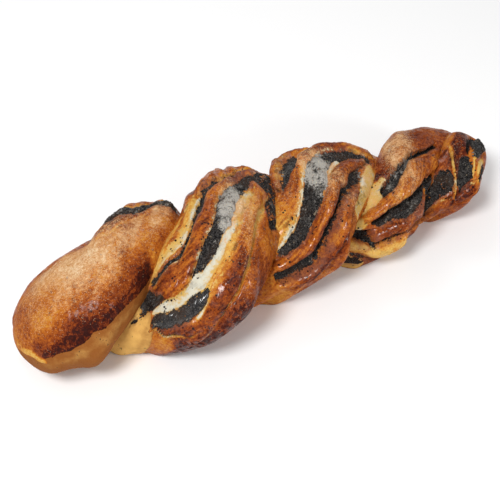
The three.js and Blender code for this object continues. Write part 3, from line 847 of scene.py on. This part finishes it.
def bakedFinish(dots):
    material, tree, shader = newMaterial("bakedDough")
    times, step = shortcuts(tree)
    place = addNode(tree, "ShaderNodeTexCoord").outputs["Object"]

    def tint(share, a, b):
        return mixColour(tree, share, a, b)

    def attribute(name):
        return addNode(tree, "ShaderNodeAttribute", {"attribute_name": name}).outputs["Fac"]

    def noise(scale, detail=3.0, roughness=0.55, vector=place):
        # stretched so that it fills 0 to 1
        made = addNode(tree, "ShaderNodeTexNoise", None, Vector=vector, Scale=scale, Detail=detail,
                       Roughness=roughness)
        return addNode(tree, "ShaderNodeMapRange", None, Value=made.outputs[0], From_Min=0.3,
                       From_Max=0.7).outputs[0]

    def plus(base, value, reach):
        # base plus a noise that swings reach up and down about nothing
        return maths(tree, "MULTIPLY_ADD", maths(tree, "SUBTRACT", value, 0.5), reach, base)

    def dotted(scale, amount, size):
        return addNode(tree, "ShaderNodeGroup", {"node_tree": dots}, Vector=place, Scale=scale,
                       Amount=amount, Size=size)

    patches, mottle = noise(patterns["patches"]), noise(patterns["mottle"], 4)
    grain, dust = noise(patterns["grain"], 3, 0.65), noise(patterns["dust"], 2)
    filling, crumb, sugarAndGlints, specks, near = (
        attribute(name) for name in ("filling", "crumb", "sugarAndGlints", "specks", "near"))
    alongStrand = times(attribute("along"), 0.13)
    strandPlace = addNode(tree, "ShaderNodeCombineXYZ", None, X=attribute("across"), Y=alongStrand).outputs[0]
    lines = noise(0.42, 3, 0.6, strandPlace)

    # browned crust, with pale cracks through the darkest of it
    freckle = noise(patterns["freckle"], 4, 0.65)
    bake = plus(plus(plus(attribute("bake"), patches, 0.30), freckle, 0.24), grain, 0.18)
    bake = plus(bake, lines, times(attribute("streak"), 0.50))
    bake = maths(tree, "MULTIPLY_ADD", near, -0.03, bake)
    offCrack = maths(tree, "ABSOLUTE", maths(tree, "SUBTRACT", noise(patterns["cracks"], 5, 0.6), 0.5))
    crack = maths(tree, "SUBTRACT", 1.0, step(offCrack, 0.02, 0.12))
    crack = times(crack, step(bake, 0.55, 0.80))
    bake = maths(tree, "MULTIPLY_ADD", crack, -0.22, bake)
    offWrinkle = maths(tree, "ABSOLUTE", maths(tree, "SUBTRACT", noise(patterns["wrinkles"], 4, 0.6), 0.5))
    wrinkle = maths(tree, "SUBTRACT", 1.0, step(offWrinkle, 0.0, 0.11))
    bake = maths(tree, "MULTIPLY_ADD", wrinkle, 0.15, bake)
    ramp = addNode(tree, "ShaderNodeValToRGB", None, Fac=bake)
    stops = ramp.color_ramp.elements
    while len(stops) < len(bakeColours):
        stops.new(0.5)
    for stop, (position, colour) in zip(stops, bakeColours):
        stop.position = position
        stop.color = (*colour, 1)

    # unwashed sides stay dull and tan
    washed = step(plus(plus(attribute("wash"), mottle, 0.5), grain, 0.3), 0.45, 0.55)
    paleness = step(plus(plus(attribute("pale"), mottle, 0.30), patches, 0.20), 0.0, 1.0)
    bareTone = tint(paleness, finish["bareTan"], finish["bareYellow"])
    dough = tint(washed, bareTone, ramp.outputs[0])

    # painted shade: the crust is darkened next to the filling, in the crevices between the ribs
    creviceShade = step(plus(plus(near, patches, 0.8), mottle, 0.4), 0.45, 1.15)
    dough = tint(times(creviceShade, 0.42), dough, finish["creviceShade"])

    # torn crumb, burnt spots, stray seeds, and sugar over it, which in a few spots on the ribs is a painted
    # glint
    whiter = plus(maths(tree, "MULTIPLY_ADD", near, 0.35, crumb), mottle, 0.6)
    crumbTone = tint(step(plus(whiter, grain, 0.4), 0.65, 1.25), finish["crumbDeep"], finish["crumbPale"])
    crumbMask = step(plus(plus(crumb, mottle, 0.5), grain, 0.3), 0.43, 0.57)
    dough = tint(crumbMask, dough, crumbTone)
    char = times(step(plus(noise(patterns["char"], 3), lines, 0.5), 0.68, 0.98), specks)
    dough = tint(char, dough, finish["burntSpeck"])
    clusters = step(noise(patterns["clusters"], 2), 0.35, 0.85)
    seedAmount = times(maths(tree, "MULTIPLY_ADD", near, 0.14, specks), clusters)
    seeds = dotted(patterns["seeds"], times(seedAmount, 0.6), 0.42)
    dough = tint(seeds.outputs["Mask"], dough, finish["burntSpeck"])
    sugarAndGlintDots = dotted(patterns["sugarAndGlints"], times(sugarAndGlints, 0.8), 0.55).outputs["Mask"]
    patchySugar = plus(plus(plus(sugarAndGlints, noise(80, 5, 0.7), 0.8), noise(420, 4, 0.7), 0.9), dust, 0.5)
    sugarFilmAndGlints = step(patchySugar, 0.25, 1.0)
    sugarFilmAndGlints = times(sugarFilmAndGlints, step(sugarAndGlints, 0.04, 0.35))
    dough = tint(times(sugarFilmAndGlints, 0.85), dough, finish["sugarFilmAndGlints"])
    # whiter sugar grain where it lies thick; a few of these spots on the ribs are painted glints
    thickSugarAndGlints = times(step(patchySugar, 0.85, 1.35), sugarAndGlints)
    thickSugarAndGlints = maths(tree, "MAXIMUM", thickSugarAndGlints, times(sugarAndGlintDots, 0.4))
    dough = tint(times(thickSugarAndGlints, 0.8), dough, finish["sugarGrain"])

    # poppy filling, dusted where sugar fell on it
    packed = dotted(patterns["packed"], 1.0, 0.75)
    seedTone = times(packed.outputs["Mask"], packed.outputs["Shade"])
    paste = tint(seedTone, finish["fillingDark"], finish["fillingSeed"])
    paste = tint(step(patches, 0.45, 0.9), paste, finish["fillingBrown"])
    flecks = step(plus(noise(patterns["flecks"], 2), lines, 0.4), 0.92, 1.05)
    paste = tint(flecks, paste, finish["fillingFleck"])
    dusted = step(plus(plus(plus(sugarAndGlints, noise(130, 4, 0.6), 0.9), grain, 0.6), dust, 0.3), 0.30, 1.0)
    paste = tint(dusted, paste, finish["sugarOnFilling"])
    fillingMask = step(plus(plus(filling, mottle, 0.8), grain, 0.6), 0.44, 0.56)
    colour = tint(fillingMask, dough, paste)
    tree.links.new(colour, shader.inputs["Base Color"])

    # egg wash shines in patches; crumb, sugar and filling are dull
    covered = maths(tree, "MAXIMUM", crumbMask, times(sugarFilmAndGlints, 0.8))
    gloss = times(attribute("gloss"), maths(tree, "SUBTRACT", washed, covered))
    gloss = maths(tree, "MAXIMUM", gloss, 0.0)
    gloss = times(gloss, step(noise(patterns["shine"], 4, 0.6), 0.25, 0.7))
    roughDough = maths(tree, "MULTIPLY_ADD", gloss, -0.50, 0.78)
    roughPaste = maths(tree, "MULTIPLY_ADD", attribute("wet"), -0.50, 0.85)
    rough = addNode(tree, "ShaderNodeMix", {"data_type": "FLOAT"}, Factor=fillingMask, i2=roughDough,
                    i3=roughPaste)
    tree.links.new(rough.outputs[0], shader.inputs["Roughness"])
    dryCoat = times(maths(tree, "SUBTRACT", 1.0, fillingMask), 0.6)
    coat = times(gloss, dryCoat)
    wetCoat = times(attribute("wet"), fillingMask)
    coat = maths(tree, "MULTIPLY_ADD", wetCoat, 0.8, coat)
    tree.links.new(coat, shader.inputs["Coat Weight"])
    setSockets(shader, shell)

    lumps = maths(tree, "MULTIPLY_ADD", grain, 0.35, times(mottle, 0.5))
    lumps = maths(tree, "MULTIPLY_ADD", sugarAndGlintDots, 0.35, lumps)
    lumps = maths(tree, "MULTIPLY_ADD", fillingMask, times(packed.outputs["Mask"], 0.9), lumps)
    bump = addNode(tree, "ShaderNodeBump", None, Height=lumps, **pitting)
    tree.links.new(bump.outputs[0], shader.inputs["Normal"])
    return material


dots = dotGroup()
ownMiddle = smoothMiddle()
roughen(loaf, bakedFinish(dots))
thin(loaf, twist["triangles"])
frameShift = intoFrame(loaf)
print("loaf shaped:", len(loaf.data.polygons), "faces,", [m.name for m in loaf.data.materials])


sugarCrystals = {"Density": 240000.0, "Smallest": 0.16 * mm, "Largest": 0.30 * mm, "Seed": 5}
poppySeeds = {"Density": 600000.0, "Smallest": 0.55 * mm, "Largest": 0.85 * mm, "Seed": 8}
sugarLook = {
    "scale": 600.0,
    "tones": [(0.86, 0.72, 0.52), (0.80, 0.52, 0.28)],
    "sockets": {"Roughness": 0.25, "Subsurface Weight": 0.3, "Subsurface Scale": 0.5 * mm},
}
seedLook = {
    "scale": 500.0,
    "tones": [(0.008, 0.008, 0.008), (0.060, 0.055, 0.052)],
    "sockets": {"Roughness": 0.35},
}
strewn = {
    "coverTakes": 0.6,     # share of a layer that what covers it takes off
    "steepest": -0.1,      # upward slant at which grains begin to lie, and lie fully
    "gentlest": 0.4,
}


def scatterTree(name, layer, cover, low, high, shape, material):
    # small shapes strewn where a layer is strong, once what covers it is taken off
    tree, given, result = newTree(
        name, "GeometryNodeTree",
        [("Geometry", "Geometry", None), ("Density", "Float", 1.0), ("Smallest", "Float", 0.001),
         ("Largest", "Float", 0.001), ("Seed", "Int", 0)],
        [("Geometry", "Geometry", None)])
    times, step = shortcuts(tree)
    strength, covering = (
        addNode(tree, "GeometryNodeInputNamedAttribute", {"data_type": "FLOAT"}, Name=label).outputs[0]
        for label in (layer, cover))
    strength = maths(tree, "SUBTRACT", strength, times(covering, strewn["coverTakes"]))
    normal = addNode(tree, "GeometryNodeInputNormal").outputs[0]
    up = addNode(tree, "ShaderNodeSeparateXYZ", None, Vector=normal).outputs[2]
    density = times(step(strength, low, high), step(up, strewn["steepest"], strewn["gentlest"]))
    density = times(density, given.outputs["Density"])
    points = addNode(tree, "GeometryNodeDistributePointsOnFaces", {"distribute_method": "RANDOM"},
                     Mesh=given.outputs["Geometry"], Density=density, Seed=given.outputs["Seed"])
    turn = addNode(tree, "FunctionNodeRandomValue", {"data_type": "FLOAT_VECTOR"}, Seed=given.outputs["Seed"])
    turn.inputs[1].default_value = (math.tau, math.tau, math.tau)
    size = addNode(tree, "FunctionNodeRandomValue", {"data_type": "FLOAT"}, Seed=given.outputs["Seed"])
    tree.links.new(given.outputs["Smallest"], size.inputs[2])
    tree.links.new(given.outputs["Largest"], size.inputs[3])
    if shape == "cube":
        grain = addNode(tree, "GeometryNodeMeshCube", None, Size=(1, 1, 1)).outputs[0]
    else:
        ball = addNode(tree, "GeometryNodeMeshIcoSphere", None, Radius=0.5, Subdivisions=1).outputs[0]
        oval = addNode(tree, "GeometryNodeTransform", None, Geometry=ball, Scale=(1.25, 1.0, 0.85))
        grain = oval.outputs[0]
    grains = addNode(tree, "GeometryNodeInstanceOnPoints", None, Points=points.outputs["Points"],
                     Instance=grain, Scale=size.outputs[1])
    tree.links.new(turn.outputs[0], grains.inputs["Rotation"])
    real = addNode(tree, "GeometryNodeRealizeInstances", None, Geometry=grains.outputs[0])
    painted = addNode(tree, "GeometryNodeSetMaterial", None, Geometry=real.outputs[0], Material=material)
    tree.links.new(painted.outputs[0], result.inputs[0])
    return tree


def strew(name, tree, settings):
    piece = placed(name, loaf.data.copy())
    step = piece.modifiers.new("strew", "NODES")
    step.node_group = tree
    for label, value in settings.items():
        setInput(step, label, value)
    settled(piece)
    for left in [a.name for a in piece.data.attributes if a.name in layers]:
        piece.data.attributes.remove(piece.data.attributes[left])
    print(name, len(piece.data.polygons), "faces")
    return piece


def grainFinish(name, look, dots):
    # grains of two tones, mixed from place to place
    material, tree, shader = newMaterial(name)
    place = addNode(tree, "ShaderNodeTexCoord").outputs["Object"]
    shade = addNode(tree, "ShaderNodeGroup", {"node_tree": dots}, Vector=place, Scale=look["scale"])
    tone = mixColour(tree, shade.outputs["Shade"], *look["tones"])
    tree.links.new(tone, shader.inputs["Base Color"])
    setSockets(shader, look["sockets"])
    return material


sugarTree = scatterTree("strewSugar", layer="sugarAndGlints", cover="wet", low=0.35, high=1.0, shape="cube",
                        material=grainFinish("sugarGrain", sugarLook, dots))
seedTree = scatterTree("strewSeeds", layer="filling", cover="sugarAndGlints", low=0.55, high=0.9, shape="ball",
                       material=grainFinish("poppySeed", seedLook, dots))
crystals = strew("sugar_crystals", sugarTree, sugarCrystals)
seeds = strew("poppy_seeds", seedTree, poppySeeds)

for piece in (loaf, crystals, seeds):
    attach(piece, "root")
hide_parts("loaf")


view = {
    "azimuth": -27.5,      # degrees, from straight in front
    "elevation": 50.0,
    "distance": 720 * mm,
    "lens": 72.6,
    "sensor": 36,
    "nearest": 0.01,
    "aim": (0, 0, 30 * mm),
    "slide": (-4.3 * mm, -2.9 * mm),
}


lamps = {     # degrees, metres, watts
    "keyLight": {"azimuth": -60, "elevation": 58, "distance": 1.2, "size": 0.36, "power": 10},
    "backLight": {"azimuth": 170, "elevation": 45, "distance": 1.3, "size": 0.6, "power": 3},
    "windowLight": {"azimuth": 32, "elevation": 24, "distance": 1.2, "size": 0.22, "power": 3.5},
}
room = {"floorSize": 6.0, "floorColour": (0.93, 0.93, 0.93, 1), "skyStrength": 0.43}
floorSockets = {"Roughness": 0.9, "Specular IOR Level": 0.1}


def outwards(azimuth, elevation):
    # direction from the loaf to a camera or a lamp
    a, e = math.radians(azimuth), math.radians(elevation)
    return Vector((math.sin(a) * math.cos(e), -math.cos(a) * math.cos(e), math.sin(e)))


def addCamera():
    back = outwards(view["azimuth"], view["elevation"])
    a = math.radians(view["azimuth"])
    right = Vector((math.cos(a), math.sin(a), 0))
    up = back.cross(right)
    aim = Vector(view["aim"]) + frameShift + right * view["slide"][0] + up * view["slide"][1]
    camera = bpy.data.objects.new("camera", bpy.data.cameras.new("camera"))
    bpy.context.scene.collection.objects.link(camera)
    camera.data.lens = view["lens"]
    camera.data.sensor_width = view["sensor"]
    camera.data.clip_start = view["nearest"]
    turn = Matrix((right, up, back)).transposed().to_4x4()
    camera.matrix_world = Matrix.Translation(aim + back * view["distance"]) @ turn
    bpy.context.scene.camera = camera


def addLamp(name, azimuth, elevation, distance, size, power):
    back = outwards(azimuth, elevation)
    lamp = bpy.data.lights.new(name, "AREA")
    lamp.shape = "DISK"
    lamp.size = size
    lamp.energy = power
    holder = bpy.data.objects.new(name, lamp)
    bpy.context.scene.collection.objects.link(holder)
    turn = back.to_track_quat("Z", "Y").to_matrix().to_4x4()
    holder.matrix_world = Matrix.Translation(back * distance) @ turn


def addFloor():
    size = room["floorSize"]
    corners = [(-size, -size, 0), (size, -size, 0), (size, size, 0), (-size, size, 0)]
    mesh = bpy.data.meshes.new("floor")
    mesh.from_pydata(corners, [], [(0, 1, 2, 3)])
    floor = placed("floor", mesh)
    material, tree, shader = newMaterial("paleFloor")
    shader.inputs["Base Color"].default_value = room["floorColour"]
    setSockets(shader, floorSockets)
    mesh.materials.append(material)


def addWorld():
    world = bpy.data.worlds.new("studio")
    world.use_nodes = True
    world.node_tree.nodes["Background"].inputs["Color"].default_value = (1, 1, 1, 1)
    world.node_tree.nodes["Background"].inputs["Strength"].default_value = room["skyStrength"]
    bpy.context.scene.world = world


addCamera()
addFloor()
addWorld()
for name, settings in lamps.items():
    addLamp(name, **settings)
bpy.context.scene.view_settings.view_transform = "Standard"
